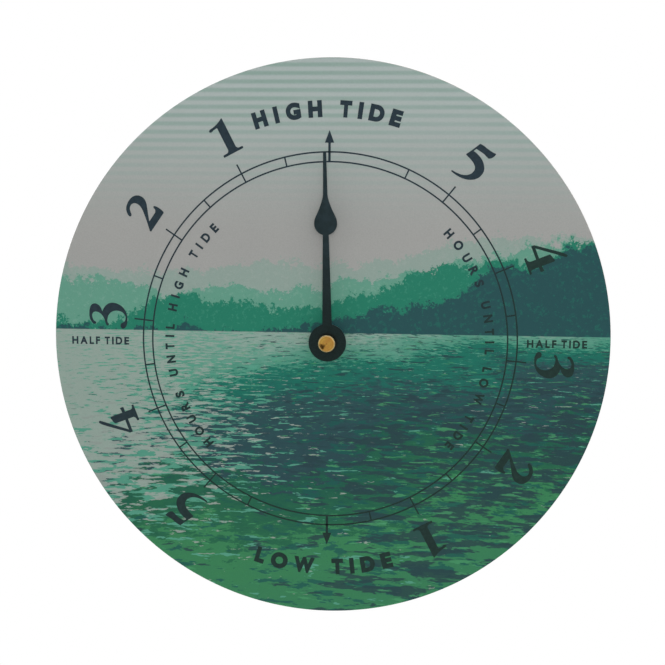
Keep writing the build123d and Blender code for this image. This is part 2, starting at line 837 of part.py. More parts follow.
with BuildPart() as clutch_spring:
    spring_rear = clutch_wheel_rear - running_fit - spring_thickness
    rod(spring_rear, spring_thickness, spring_diameter, setting_place)
    rod(spring_rear, spring_thickness, setting_arbor_diameter, setting_place, Mode.SUBTRACT)
    with Locations(at_depth(spring_rear, setting_place)):
        with PolarLocations(spring_diameter / 2, spring_slot_count):
            Box(
                spring_diameter - setting_arbor_diameter - 2 * spring_slot_width, spring_slot_width,
                spring_thickness, align=base_align, mode=Mode.SUBTRACT,
            )
finish("clutch_spring", clutch_spring)

# Setting arbor: its pinion drives the tide wheel, its tail carries the knob
setting_pinion_rear = tide_wheel_rear - pinion_overhang
knob_front = knob_setback + grip_height + knob_thickness
with BuildPart() as setting_arbor:
    rod(
        knob_front - knob_socket_depth, pivot_front - knob_front + knob_socket_depth,
        setting_arbor_diameter, setting_place,
    )
    rod(
        clutch_wheel_front + running_fit, setting_pinion_rear - clutch_wheel_front - running_fit,
        collar_diameter, setting_place,
    )
    gear(
        setting_pinion_rear, tide_wheel_thickness + 2 * pinion_overhang, setting_teeth, tide_module,
        pinion_tooth_share, answering_phase(setting_bearing, setting_teeth), setting_place,
    )
finish("setting_arbor", setting_arbor)

with BuildPart() as setting_knob:
    rod(knob_setback + grip_height, knob_thickness, knob_diameter, setting_place)
    with Locations(at_depth(knob_setback, setting_place)):
        Box(knob_diameter - grip_width, grip_width, grip_height, align=base_align)
    with Locations(at_depth(knob_setback + grip_height, setting_place)):
        with PolarLocations(knob_diameter / 2, knob_notch_count):
            Cylinder(knob_notch_diameter / 2, knob_thickness, align=base_align, mode=Mode.SUBTRACT)
    rod(
        knob_front - knob_socket_depth, knob_socket_depth,
        setting_arbor_diameter, setting_place, Mode.SUBTRACT,
    )
finish("setting_knob", setting_knob)

# Tide wheel on the hand's arbor
hub_diameter = tide_arbor_diameter + 2 * hub_wall
with BuildPart() as tide_wheel:
    gear(tide_wheel_rear, tide_wheel_thickness, tide_teeth, tide_module, wheel_tooth_share, setting_bearing)
    windows(tide_wheel_rear, tide_wheel_thickness, tide_teeth, tide_module, tide_place)
    rod(tide_wheel_rear - hub_overhang / 2, tide_wheel_thickness + hub_overhang, hub_diameter)
    rod(
        tide_wheel_rear - hub_overhang / 2, tide_wheel_thickness + hub_overhang,
        tide_arbor_diameter, tide_place, Mode.SUBTRACT,
    )
finish("tide_wheel", tide_wheel)

thread_front = hand_front + cap_height - cap_wall
with BuildPart() as tide_arbor:
    tail_front = tide_wheel_rear - hub_overhang
    rod(pivot_rear, tide_pivot_length, tide_pivot_diameter)
    rod(pivot_rear + tide_pivot_length, tail_front - pivot_rear - tide_pivot_length, tide_tail_diameter)
    rod(tail_front, shoulder_depth - tail_front, tide_arbor_diameter)
    rod(shoulder_depth, thread_front - shoulder_depth, thread_diameter)
finish("tide_arbor", tide_arbor)

# Wall hanger: a foot under the gasket, a shelf over the case and a tab with the keyhole
shelf_bottom = case_top + hanger_gap
shelf_top = shelf_bottom + hanger_thickness
tab_top = shelf_bottom + tab_height
keyhole_height = shelf_bottom + keyhole_rise
with BuildPart() as wall_hanger:
    with BuildSketch(Plane.XZ.offset(hanger_rear)):
        with Locations((0, (shelf_bottom - hanger_foot_drop) / 2)):
            RectangleRounded(hanger_width, shelf_bottom + hanger_foot_drop, hanger_corner_radius)
        with Locations((0, (shelf_top + tide_place[1]) / 2)):
            Rectangle(hanger_width, shelf_top - tide_place[1])
        Circle(bush_diameter / 2 + bush_clearance, mode=Mode.SUBTRACT)
    extrude(amount=hanger_thickness)
    slab((-hanger_width / 2, tab_setback, shelf_bottom), (hanger_width / 2, hanger_rear, shelf_top))
    with BuildSketch(Plane.XZ.offset(tab_setback)):
        with Locations((0, (shelf_bottom + tab_top) / 2)):
            RectangleRounded(hanger_width, tab_height, hanger_corner_radius)
        with Locations((0, (shelf_bottom + keyhole_height) / 2)):
            Rectangle(hanger_width, keyhole_rise)
        with Locations((0, keyhole_height)):
            Circle(keyhole_diameter / 2, mode=Mode.SUBTRACT)
        with Locations((0, keyhole_height + slot_rise / 2)):
            Rectangle(slot_width, slot_rise, mode=Mode.SUBTRACT)
        with Locations((0, keyhole_height + slot_rise)):
            Circle(slot_width / 2, mode=Mode.SUBTRACT)
    extrude(amount=hanger_thickness)
finish("wall_hanger", wall_hanger)

# Gasket, dial, washer and nut, clamped on the bush
bush_hole_diameter = bush_diameter + 2 * bush_clearance
with BuildPart() as rubber_gasket:
    rod(gasket_rear, gasket_thickness, gasket_diameter)
    rod(gasket_rear, gasket_thickness, bush_hole_diameter, tide_place, Mode.SUBTRACT)
finish("rubber_gasket", rubber_gasket)

with BuildPart() as dial_disc:
    rod(disc_rear, disc_thickness, disc_diameter)
    rod(disc_rear, disc_thickness, bush_hole_diameter, tide_place, Mode.SUBTRACT)
    fillet(dial_disc.edges().group_by(Axis.Y)[-1].sort_by(SortBy.RADIUS)[-1], disc_edge_round)
finish("dial_disc", dial_disc)

with BuildPart() as dial_face:
    rod(face_rear, face_thickness, disc_diameter - 2 * face_margin)
    rod(face_rear, face_thickness, bush_hole_diameter, tide_place, Mode.SUBTRACT)
finish("dial_face", dial_face)

with BuildPart() as flat_washer:
    rod(washer_rear, washer_thickness, washer_diameter)
    rod(washer_rear, washer_thickness, bush_hole_diameter, tide_place, Mode.SUBTRACT)
finish("flat_washer", flat_washer)

with BuildPart() as hex_nut:
    with BuildSketch(Plane.XZ.offset(nut_rear)):
        RegularPolygon(nut_across_flats / 2, 6, major_radius=False)
        Circle(bush_diameter / 2, mode=Mode.SUBTRACT)
    extrude(amount=nut_thickness)
finish("hex_nut", hex_nut)

# Spade hand: half its outline from the axis up, then mirrored
blade_half = blade_width / 2
neck_half = neck_width / 2
blade_climb = flare_height - blade_height
neck_turn = math.degrees(math.acos(neck_half / blade_half))
with BuildPart() as tide_hand:
    with BuildSketch(at_depth(hand_rear, tide_place, hand_lean)):
        with BuildLine():
            lobe = CenterArc((0, blade_height), blade_half, -neck_turn, neck_turn)
            flank = Spline(
                lobe @ 1,
                (blade_half * blade_spread_shares[0], blade_height + blade_climb * blade_rise_shares[0]),
                (blade_half * blade_spread_shares[1], blade_height + blade_climb * blade_rise_shares[1]),
                (stem_width / 2, flare_height),
                tangents=((0, 1), (0, 1)),
            )
            Polyline(flank @ 1, (tip_width / 2, hand_length), (0, hand_length), (0, 0))
            Polyline((0, 0), (shank_root_width / 2, 0), lobe @ 0)
        make_face()
        mirror(about=Plane.YZ)
        Circle(boss_diameter / 2)
        Circle(thread_diameter / 2, mode=Mode.SUBTRACT)
    extrude(amount=hand_thickness)
finish("tide_hand", tide_hand)

with BuildPart() as hand_collet:
    rod(shoulder_depth, hand_rear - shoulder_depth, collet_diameter)
    rod(shoulder_depth, hand_rear - shoulder_depth, thread_diameter, tide_place, Mode.SUBTRACT)
finish("hand_collet", hand_collet)

# Knurled cap nut with a shallow cone on its face
cap_core_diameter = cap_diameter - 2 * cap_knurl_depth
cone_depth = hand_front + cap_height - cap_cone_height
with BuildPart() as hand_cap_nut:
    with BuildSketch(Plane.XZ.offset(hand_front + cap_rim)):
        with BuildLine():
            ridge_points = []
            for step in range(2 * cap_knurl_count):
                reach = cap_diameter / 2 - (step % 2) * cap_knurl_depth
                ridge_points.append(away((0, 0), reach, step * 180 / cap_knurl_count))
            Polyline(*ridge_points, close=True)
        make_face()
    extrude(amount=cone_depth - cap_rim - hand_front - cap_rim)
    rod(hand_front, cone_depth - hand_front, cap_core_diameter)
    with Locations(at_depth(cone_depth)):
        Cone(cap_core_diameter / 2, cap_pip_diameter / 2, cap_cone_height, align=base_align)
    rod(hand_front + cap_height - cap_pip_depth, cap_pip_depth, cap_pip_diameter, tide_place, Mode.SUBTRACT)
    rod(hand_front, thread_front - hand_front, thread_diameter, tide_place, Mode.SUBTRACT)
finish("hand_cap_nut", hand_cap_nut)
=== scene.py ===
import math

import bmesh
import bpy
from mathutils import Matrix, Quaternion, Vector


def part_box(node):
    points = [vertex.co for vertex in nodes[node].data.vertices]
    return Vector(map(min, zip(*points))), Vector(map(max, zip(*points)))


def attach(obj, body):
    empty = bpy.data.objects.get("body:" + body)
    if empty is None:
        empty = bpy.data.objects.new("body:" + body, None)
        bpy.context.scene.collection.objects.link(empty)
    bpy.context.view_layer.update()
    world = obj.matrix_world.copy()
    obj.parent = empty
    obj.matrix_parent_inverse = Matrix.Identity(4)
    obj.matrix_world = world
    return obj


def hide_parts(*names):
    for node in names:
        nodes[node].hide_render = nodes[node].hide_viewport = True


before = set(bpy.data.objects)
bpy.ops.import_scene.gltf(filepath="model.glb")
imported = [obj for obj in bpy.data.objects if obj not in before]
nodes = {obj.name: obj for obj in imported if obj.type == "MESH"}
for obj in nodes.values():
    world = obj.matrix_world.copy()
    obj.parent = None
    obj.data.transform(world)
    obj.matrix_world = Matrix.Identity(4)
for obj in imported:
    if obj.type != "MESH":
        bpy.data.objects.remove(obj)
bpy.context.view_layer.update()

mm = 0.001
white = (1, 1, 1, 1)

# Planes and sizes taken from the frame
face_low, face_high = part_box("dial_face")
disc_low, disc_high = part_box("dial_disc")
face_front = face_low.y
face_radius = face_high.x
disc_radius = disc_high.x
bore_radius = 4.1 * mm

# The print sits a little off the hand's axis, as prints on sheets do
print_centre = (-0.05 * mm, -0.11 * mm)
ink_thickness = 0.04 * mm
ink_lap = 0.02 * mm

# Scale ring and ticks
ring_radii = (63.85 * mm, 67.26 * mm)
line_width = 0.53 * mm
hour_tick_radius = 70.9 * mm
half_hours = 11
tick_runs = ((0.2, 14.06), (180, 14.14))
arrow_places = ((-0.2, 74.85 * mm), (179.8, 74.65 * mm))
arrow_shaft_width = 0.88 * mm
arrow_head_width = 3.3 * mm
arrow_head_length = 4.4 * mm

# Numerals, tops outward: each with its clockwise angle from the top and its radius in millimetres
numeral_places = (
    ("1", -27.6, 80.85), ("2", -56, 81.2), ("3", -84.3, 81.15), ("4", -111.3, 81.15), ("5", -140.5, 81),
    ("5", 38.25, 81.05), ("4", 68.3, 81.05), ("3", 94.9, 81.3), ("2", 122.95, 81.25), ("1", 151.85, 80.85),
)

# Styles of lettering: letter height, weight, and width against the plain letter's
large_letters = (5.9 * mm, 0.07, 0.96)
small_letters = (3.3 * mm, 0.048, 0.89)
half_tide_letters = (2.8 * mm, 0.04, 0.93)

# Words along arcs: style, radius, and each word with the angles of its first and last letter.
# A negative radius turns the tops of the letters towards the centre.
arc_words = (
    ("high_tide_words", large_letters, 82.8 * mm, (
        ("HIGH", -17.7, -3.8), ("TIDE", 3.75, 16.28),
    )),
    ("low_tide_words", large_letters, -82.45 * mm, (
        ("LOW", 16.9, 5.6), ("TIDE", -2.94, -15.5),
    )),
    ("hours_to_high_words", small_letters, 57.79 * mm, (
        ("HOURS", -130.98, -110.54), ("UNTIL", -102.3, -85.4),
        ("HIGH", -78.46, -65.2), ("TIDE", -57.86, -45.78),
    )),
    ("hours_to_low_words", small_letters, 57.72 * mm, (
        ("HOURS", 47.36, 68.0), ("UNTIL", 76.0, 92.85),
        ("LOW", 99.25, 109.9), ("TIDE", 117.85, 129.9),
    )),
)
# Letters that are wider or narrower than the font's own
letter_widths = {"E": 1.08, "L": 0.94, "O": 1.04, "R": 1.1, "S": 1.2, "T": 0.87, "W": 0.88}
# Space between words, counted in spaces between letters
word_gap = 2.3
# Length between the middles of the first and last letter of the straight words
half_tide_length = 19.06 * mm
half_tide_places = ((-83.0 * mm, -0.8 * mm), (81.3 * mm, 0.55 * mm))

# Outline of each numeral in millimetres about its middle. A third value marks a corner.
corner = True
numeral_outlines = {
    "1": (
        (-3.9, 4.7), (-3.6, 5.12), (-1.9, 5.42), (0.3, 6.1), (2, 6.95, corner),
        (2.26, 6.85, corner), (2.24, -4.1, corner), (2.7, -4.8), (4.2, -5.02, corner),
        (4.45, -5.2), (4.4, -5.85, corner), (-3.25, -5.85, corner), (-3.3, -5.15, corner),
        (-3, -5), (-1.3, -4.8), (-0.8, -4.1, corner), (-0.8, 4.62, corner), (-2.1, 4.5), (-3.6, 4.25),
    ),
    "2": (
        (-3.76, 3.3), (-3.09, 4.77), (-1.96, 5.8), (-0.47, 6.33), (1.02, 6.45), (2.76, 6.06),
        (4, 5.03), (4.55, 3.49), (4.44, 2.2), (3.75, 0.91), (2.51, -0.37), (0.77, -1.92),
        (-1.16, -3.8, corner), (2.61, -3.8, corner), (3.43, -3.25), (3.81, -2.25), (4.15, -2.1),
        (4.5, -2.43), (4.55, -6.1), (4.25, -6.42, corner), (-3.9, -6.35, corner),
        (-3.9, -5.8, corner), (-1.72, -3.07), (0.03, -0.63), (1.14, 1.17), (1.52, 2.59),
        (1.39, 3.74), (0.77, 4.64), (-0.1, 4.95), (-1.22, 4.7), (-2.21, 3.74), (-2.99, 2.8), (-3.62, 2.85),
    ),
    "3": (
        (-3.42, 4.15), (-2.65, 5.44), (-1.36, 6.17), (0.18, 6.48), (1.98, 6.48), (3.4, 5.98),
        (3.99, 4.89), (3.78, 3.66), (2.88, 2.57), (1.4, 1.77, corner), (2.6, 1.38), (3.9, 0.53),
        (4.76, -0.68), (5.02, -2.32), (4.55, -4.23), (3.53, -5.86), (1.72, -7.12), (-0.6, -7.7),
        (-2.65, -7.59), (-3.75, -6.96), (-4, -6.22), (-3.6, -5.58), (-2.75, -5.37), (-1.95, -5.74),
        (-1.5, -6.53), (-0.5, -6.96), (0.7, -6.8), (1.72, -5.9), (2.24, -4.52), (2.19, -2.86),
        (1.6, -1.64), (0.44, -0.68), (-0.98, -0.37), (-2.14, -0.45), (-3.15, -1.03), (-3.5, -0.56),
        (-2.78, 0.13), (-1.36, 0.72), (-0.2, 1.49), (0.7, 2.57), (1.08, 3.8), (0.82, 4.89),
        (0.1, 5.36), (-0.98, 5.25), (-2.14, 4.62), (-2.85, 3.68),
    ),
    "4": (
        (0.97, 8.39), (1.58, 8.55), (1.89, 7.97, corner), (-4.84, -0.98, corner),
        (-1.08, -0.98, corner), (-1.08, 2.88, corner), (-0.61, 3.25), (0.61, 3.67),
        (1.63, 3.83), (1.82, 3.51, corner),
        (1.82, -0.95, corner), (2.86, -0.9), (3.52, -0.74), (3.69, -1.22), (3.62, -2.11, corner),
        (1.82, -2.11, corner), (1.82, -4.26, corner), (2.14, -4.94), (3.06, -5.15, corner),
        (3.26, -5.52), (3.16, -5.94, corner), (-2.81, -5.94, corner), (-2.86, -5.42),
        (-2.65, -5.15, corner), (-1.63, -4.94), (-1.08, -4.26, corner), (-1.08, -2.11, corner),
        (-6.07, -2.11, corner), (-6.07, -1.01, corner),
    ),
    "5": (
        (-2.29, 6.67, corner), (-0.91, 6.88), (1.02, 6.91), (2.94, 7.06), (4.28, 7.36, corner),
        (4.39, 7.04), (4.01, 5.33), (3.32, 4.48, corner), (2.4, 4.54), (1.02, 4.7), (-0.91, 4.59),
        (-2.19, 4.43, corner), (-2.46, 3.36, corner), (-0.49, 3.29), (1.57, 2.83), (3.21, 1.93),
        (4.6, 0.41), (4.98, -1.27), (4.6, -3.14), (3.21, -4.92), (1.02, -6.22), (-1.46, -6.85),
        (-4.07, -7, corner), (-4.33, -6.54, corner), (-2.01, -6.06), (-0.09, -5.34), (1.43, -3.96),
        (1.98, -2.46), (1.71, -1.09), (0.47, -0.13), (-1.18, 0.38), (-2.84, 0.59),
        (-3.75, 0.7, corner), (-3.8, 1.07, corner), (-2.94, 3.95),
    ),
}


def on_dial(across, up, angle, radius):
    """Return the dial place of a point given across and up from a spot on the print."""
    turn = math.radians(angle)
    reach = up + radius
    x = across * math.cos(turn) + reach * math.sin(turn) + print_centre[0]
    z = reach * math.cos(turn) - across * math.sin(turn) + print_centre[1]
    return x, z


def keep(piece, body="movement", stands_for=()):
    """Let a new piece ride on its body, and hide the nodes it stands for."""
    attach(piece, body)
    if stands_for:
        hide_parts(*stands_for)
    return piece


def mesh_piece(name, build, material, smooth_angle=35):
    """Make an object from a function that fills a bmesh."""
    shape = bmesh.new()
    build(shape)
    bmesh.ops.recalc_face_normals(shape, faces=shape.faces)
    mesh = bpy.data.meshes.new(name)
    shape.to_mesh(mesh)
    shape.free()
    mesh.shade_smooth()
    mesh.set_sharp_from_angle(angle=math.radians(smooth_angle))
    mesh.materials.append(material)
    piece = bpy.data.objects.new(name, mesh)
    bpy.context.scene.collection.objects.link(piece)
    return piece


class Finish:
    """One procedural material and the few kinds of node that it is made of."""

    def __init__(self, name, roughness=0.5, metallic=0.0, **levels):
        self.material = bpy.data.materials.new(name)
        self.material.use_nodes = True
        self.tree = self.material.node_tree
        self.shader = self.tree.nodes["Principled BSDF"]
        self.set("Roughness", roughness)
        self.set("Metallic", metallic)
        for level, value in levels.items():
            self.set(level.replace("_", " "), value)
        where = self.put("TexCoord", "Object")
        self.spot = self.put("VectorMath", 0, {0: where, 1: (1 / mm,) * 3}, operation="MULTIPLY")
        split = self.tree.nodes.new("ShaderNodeSeparateXYZ")
        self.tree.links.new(self.spot, split.inputs[0])
        self.x, self.y, self.z = split.outputs

    def put(self, kind, output=0, values=(), **settings):
        """Add a node, fill its sockets with values or links, and return one output."""
        node = self.tree.nodes.new("ShaderNode" + kind)
        for key, value in settings.items():
            setattr(node, key, value)
        for key, value in dict(values).items():
            if isinstance(value, bpy.types.NodeSocket):
                self.tree.links.new(value, node.inputs[key])
            else:
                node.inputs[key].default_value = value
        return node.outputs[output]

    def set(self, socket, value):
        """Set or link one socket of the shader."""
        if isinstance(value, bpy.types.NodeSocket):
            self.tree.links.new(value, self.shader.inputs[socket])
        else:
            self.shader.inputs[socket].default_value = value

    def math(self, operation, first, second=0.0):
        return self.put("Math", 0, {0: first, 1: second}, operation=operation)

    def add(self, first, second):
        return self.math("ADD", first, second)

    def times(self, first, second):
        return self.math("MULTIPLY", first, second)

    def vector(self, x, y, z):
        return self.put("CombineXYZ", 0, {0: x, 1: y, 2: z})

    def noise(self, scale, detail=2.0, spot=None, roughness=0.5, output=0, distortion=0.0):
        """Noise whose scale is in features per millimetre."""
        values = {
            "Vector": spot or self.spot, "Scale": scale, "Detail": detail,
            "Roughness": roughness, "Distortion": distortion,
        }
        return self.put("TexNoise", output, values)

    def step(self, value, low, high, to_low=0.0, to_high=1.0):
        """Ease from one number to another as a value goes from low to high."""
        values = {0: value, 1: low, 2: high, 3: to_low, 4: to_high}
        return self.put("MapRange", 0, values, interpolation_type="SMOOTHSTEP")

    def mix(self, share, first, second, blend_type="MIX"):
        """Mix two colours."""
        values = {0: share, 6: first, 7: second}
        return self.put("Mix", 2, values, data_type="RGBA", blend_type=blend_type)

    def ramp(self, share, stops, interpolation="LINEAR"):
        """Colour by a list of (place, colour)."""
        node = self.tree.nodes.new("ShaderNodeValToRGB")
        node.color_ramp.interpolation = interpolation
        elements = node.color_ramp.elements
        while len(elements) < len(stops):
            elements.new(1)
        for element, (place, shade) in zip(elements, stops):
            element.position = place
            element.color = shade
        self.tree.links.new(share, node.inputs[0])
        return node.outputs[0]

    def span(self):
        """Return how far each point is from the hand's axis."""
        squares = self.add(self.times(self.x, self.x), self.times(self.z, self.z))
        return self.math("SQRT", squares)

    def turned_rings(self, pace):
        """Return noise in rings about the hand's axis, and spread highlights across them."""
        self.set("Tangent", self.put("Tangent", 0, direction_type="RADIAL", axis="Y"))
        return self.noise(pace, 3, self.vector(self.span(), self.times(self.y, 0.2), 0))

    def block(self, across, up, half_width, half_height):
        """Return 1 inside a box seen from the front or back, and 0 outside."""
        soft = 0.06
        beside = self.add(self.math("ABSOLUTE", self.add(self.x, -across)), -half_width)
        beyond = self.add(self.math("ABSOLUTE", self.add(self.z, -up)), -half_height)
        return self.step(self.math("MAXIMUM", beside, beyond), soft, -soft)

    def dim(self, shade, level):
        """Multiply a colour by a level."""
        return self.mix(1.0, shade, self.vector(level, level, level), "MULTIPLY")

    def bump(self, height, distance, strength):
        """Raise the surface by a height from 0 to 1 over a distance."""
        values = {"Height": height, "Distance": distance, "Strength": strength}
        self.set("Normal", self.put("Bump", 0, values))

    def mottle(self, shade, spread, scale, detail=3.0):
        """Vary a colour a little, darker and lighter, by noise."""
        dark = [part * (1 - spread) for part in shade[:3]] + [1]
        light = [min(1, part * (1 + spread)) for part in shade[:3]] + [1]
        return self.mix(self.step(self.noise(scale, detail), 0.3, 0.7), dark, light)


def srgb(red, green, blue):
    """Return a linear colour from 0 to 255 parts."""
    parts = []
    for value in (red / 255, green / 255, blue / 255):
        parts.append(value / 12.92 if value <= 0.04045 else ((value + 0.055) / 1.055) ** 2.4)
    return (*parts, 1.0)


# The printed picture: a calm bay in flat layers, with a striped sky

horizon = 3
stripe_pitch = 2.93
stripe_top = 97.35


def dial_print_material():
    paint = Finish("dial_print", roughness=0.45, Specular_IOR_Level=0.12)
    x, z = paint.x, paint.z

    # Sky with soft stripes that fade out downward
    haze = paint.noise(0.02, 2)
    sky = paint.mix(haze, srgb(150, 151, 149), srgb(158, 158, 155))
    sky = paint.mix(paint.step(z, 35, 95), sky, srgb(163, 174, 172))
    wave = paint.math("COSINE", paint.times(paint.add(z, -stripe_top), math.tau / stripe_pitch))
    stripe = paint.times(paint.step(wave, -0.9, 1), paint.step(z, 38, 92))
    uneven = paint.noise(0.06, 3, paint.vector(paint.times(x, 0.3), 0, z))
    stripe = paint.times(stripe, paint.step(uneven, 0.3, 0.6, 0.6, 1))
    picture = paint.mix(stripe, sky, srgb(136, 158, 150))

    # Hills behind the bay, each layer with a broken, speckled edge
    speckle = paint.noise(1.15, 3, roughness=0.7)
    edge = paint.noise(0.35, 4, roughness=0.7)
    coarse = paint.noise(0.12, 3, roughness=0.6)
    # Each layer: height of its ridge, features per millimetre, shift, climb, lean to the right,
    # colour, colour of its gaps, cover
    layers = (
        (24, 0.010, 3.1, 12, 12, srgb(128, 154, 144), srgb(138, 158, 150), 0.7),
        (17, 0.016, 9.4, 14, 20, srgb(84, 146, 125), srgb(104, 154, 136), 0.85),
        (9, 0.022, 5.7, 14, 26, srgb(28, 114, 92), srgb(48, 126, 104), 0.95),
        (1, 0.028, 12.2, 12, 30, srgb(36, 72, 77), srgb(34, 94, 86), 0.95),
    )
    speckle_reach, edge_reach, coarse_reach = 7, 10, 12
    rough = paint.add(paint.times(edge, edge_reach), paint.times(coarse, coarse_reach))
    rough = paint.add(paint.times(speckle, speckle_reach), rough)
    rough_mean = (speckle_reach + edge_reach + coarse_reach) / 2
    for height, pace, shift, climb, lean, shade, gap_shade, cover in layers:
        along = paint.vector(paint.add(x, shift * 100), 0, shift)
        ridge = paint.times(paint.add(paint.noise(pace, 2, along), -0.5), 2 * climb)
        ridge = paint.add(ridge, paint.times(paint.step(x, -20, 110), lean))
        top = paint.add(paint.add(ridge, height + horizon - rough_mean), rough)
        inside = paint.step(paint.math("SUBTRACT", top, z), -0.3, 0.3)
        leaves = paint.noise(0.55, 5, paint.vector(paint.add(x, shift * 10), shift, z), 0.75)
        shade = paint.mix(paint.times(paint.step(leaves, 0.55, 0.6), 0.8), shade, gap_shade)
        picture = paint.mix(paint.times(inside, cover), picture, shade)

    # Water: bands by distance, with ripples that widen towards the viewer
    drop = paint.math("SUBTRACT", horizon, z)
    depth = paint.math("MAXIMUM", drop, 0)
    near = paint.math("LOGARITHM", paint.add(paint.times(depth, 0.06), 1), math.e)
    across = paint.math("DIVIDE", x, paint.add(paint.times(depth, 0.02), 1))
    slow = paint.noise(0.05, 3, paint.vector(paint.times(across, 0.6), 0, paint.times(near, 20)))
    band = paint.add(near, paint.times(paint.add(slow, -0.5), 1.2))
    band = paint.add(band, paint.times(x, 0.003))
    fine = paint.noise(1.0, 4, paint.vector(paint.times(across, 0.35), 5, paint.times(near, 36)), 0.7)
    band = paint.add(band, paint.times(paint.add(fine, -0.5), 0.9))
    water = paint.ramp(paint.times(band, 0.5), (
        (0.0, srgb(134, 158, 148)), (0.1, srgb(94, 148, 130)), (0.24, srgb(66, 136, 115)),
        (0.25, srgb(27, 109, 92)), (0.42, srgb(29, 97, 87)), (0.43, srgb(42, 78, 80)),
        (0.62, srgb(41, 68, 75)), (0.63, srgb(29, 84, 70)), (0.8, srgb(38, 100, 71)),
        (0.81, srgb(55, 123, 81)), (1.0, srgb(53, 119, 83)),
    ))
    glare = paint.times(paint.step(x, 5, -98), paint.step(z, -92, -30))
    gloom = paint.times(paint.step(x, -45, 45), paint.step(z, 10, -35))
    # Flecks: seed, stretch across, pace down, threshold and its softness, how much the glare and
    # the gloom shift it, colour, cover
    flecks = (
        (3, 0.20, 30, 0.57, 0.03, -0.1, 0.06, srgb(28, 84, 78), 0.85),
        (17, 0.16, 34, 0.60, 0.02, 0.2, -0.03, srgb(84, 152, 130), 0.85),
        (31, 0.24, 44, 0.64, 0.02, 0.24, -0.02, srgb(146, 158, 151), 0.85),
        (47, 0.12, 22, 0.61, 0.03, -0.1, 0.13, srgb(38, 62, 68), 0.85),
        (59, 0.18, 40, 0.62, 0.02, -0.1, 0.03, srgb(70, 144, 98), 0.7),
    )
    for seed, stretch, pace, low, spread, shine, sink, shade, cover in flecks:
        place = paint.vector(paint.times(across, stretch), seed, paint.times(near, pace))
        fleck = paint.noise(1.0, 4, place, roughness=0.65, distortion=0.25)
        fleck = paint.add(fleck, paint.add(paint.times(glare, shine), paint.times(gloom, sink)))
        shown = paint.times(paint.step(fleck, low, low + spread), cover)
        water = paint.mix(shown, water, shade)
    picture = paint.mix(paint.step(drop, -0.15, 0.15), picture, water)

    grain = paint.step(paint.noise(3.2, 2, roughness=0.7), 0.25, 0.75, 0.95, 1.04)
    paint.set("Base Color", paint.dim(picture, grain))
    paint.set("Roughness", paint.step(paint.noise(0.4, 3), 0.3, 0.7, 0.41, 0.49))
    paint.bump(paint.noise(5, 3), 0.01 * mm, 0.4)
    return paint.material


def ink_material():
    paint = Finish("dial_ink", roughness=0.45, Specular_IOR_Level=0.12)
    on_water = paint.times(paint.step(paint.z, 28, 0), paint.step(paint.x, -95, -30))
    on_hill = paint.times(paint.step(paint.z, 55, 30), paint.step(paint.x, 40, 75))
    on_dark = paint.math("MAXIMUM", on_water, on_hill)
    shade = paint.mix(on_dark, srgb(36, 49, 57), srgb(28, 48, 44))
    uneven = paint.step(paint.noise(0.7, 3), 0.3, 0.7, 0.86, 1.14)
    paint.set("Base Color", paint.dim(shade, uneven))
    paint.bump(paint.noise(8, 2), 0.005 * mm, 0.3)
    return paint.material


def hand_material():
    paint = Finish("hand_black", roughness=0.38, Specular_IOR_Level=0.15)
    coat = paint.mix(paint.step(paint.noise(0.5, 3), 0.3, 0.7), srgb(18, 33, 36), srgb(27, 42, 47))
    # Painted shade: the black goes darker towards the boss at the root of the blade, standing in for a
    # darker reflection there
    painted_root_shade = paint.mix(paint.step(paint.noise(2.2, 3), 0.3, 0.7), srgb(4, 21, 18), srgb(14, 31, 31))
    base = paint.mix(paint.step(paint.z, 2, 45), painted_root_shade, coat)
    # Painted shadow: a near-black ring on the hand round the cap nut stands in for the cap's contact
    # shadow
    painted_contact_shadow = paint.step(paint.span(), 3.9, 3.2)
    paint.set("Base Color", paint.mix(paint.times(painted_contact_shadow, 0.8), base, srgb(4, 8, 5)))
    paint.set("Roughness", paint.step(paint.noise(1.2, 4), 0.3, 0.7, 0.32, 0.42))
    paint.bump(paint.noise(6, 3), 0.006 * mm, 0.4)
    return paint.material


def turned_metal(name, light, dark, roughness):
    """Metal turned about the hand's axis, with fine rings."""
    paint = Finish(name, roughness, metallic=1.0, Anisotropic=0.6, Anisotropic_Rotation=0.25)
    rings = paint.turned_rings(5)
    paint.set("Base Color", paint.mix(paint.step(rings, 0.35, 0.65), dark, light))
    paint.set("Roughness", paint.step(rings, 0.3, 0.7, roughness * 0.8, roughness * 1.2))
    paint.bump(rings, 0.008 * mm, 0.6)
    return paint.material


def cap_material():
    """Brass cap nut: finely turned face, a chamfer painted paler as a highlight, painted shade between the
    knurls.
    """
    paint = Finish("cap_brass", roughness=0.16, metallic=1.0, Anisotropic=0.85, Anisotropic_Rotation=0.25)
    radius = paint.span()
    rings = paint.turned_rings(9)
    cloud = paint.step(paint.noise(0.45, 3, roughness=0.65), 0.3, 0.7)
    base = paint.mix(cloud, srgb(166, 118, 58), srgb(178, 142, 66))
    base = paint.mix(paint.times(paint.step(rings, 0.35, 0.65), 0.5), base, srgb(150, 116, 54))
    # Painted highlight: the chamfer is painted pale, standing in for the lamps' reflection on the rim
    wear_and_highlight = paint.step(radius, cap_chamfer_inner / mm - 0.15, cap_radius / mm)
    base = paint.mix(paint.times(wear_and_highlight, 0.9), base, srgb(214, 196, 156))
    # Painted shade: the knurled side goes near black towards the roots of the knurls, standing in for the
    # shade in the grooves
    fluted = paint.math("GREATER_THAN", paint.y, cap_shoulder_y / mm)
    painted_root_shade = paint.times(paint.step(radius, cap_radius / mm - 0.08, cap_root_radius / mm), fluted)
    paint.set("Base Color", paint.mix(paint.times(painted_root_shade, 0.92), base, srgb(24, 20, 8)))
    paint.set("Roughness", paint.step(rings, 0.3, 0.7, 0.1, 0.15))
    paint.bump(rings, 0.004 * mm, 0.5)
    return paint.material


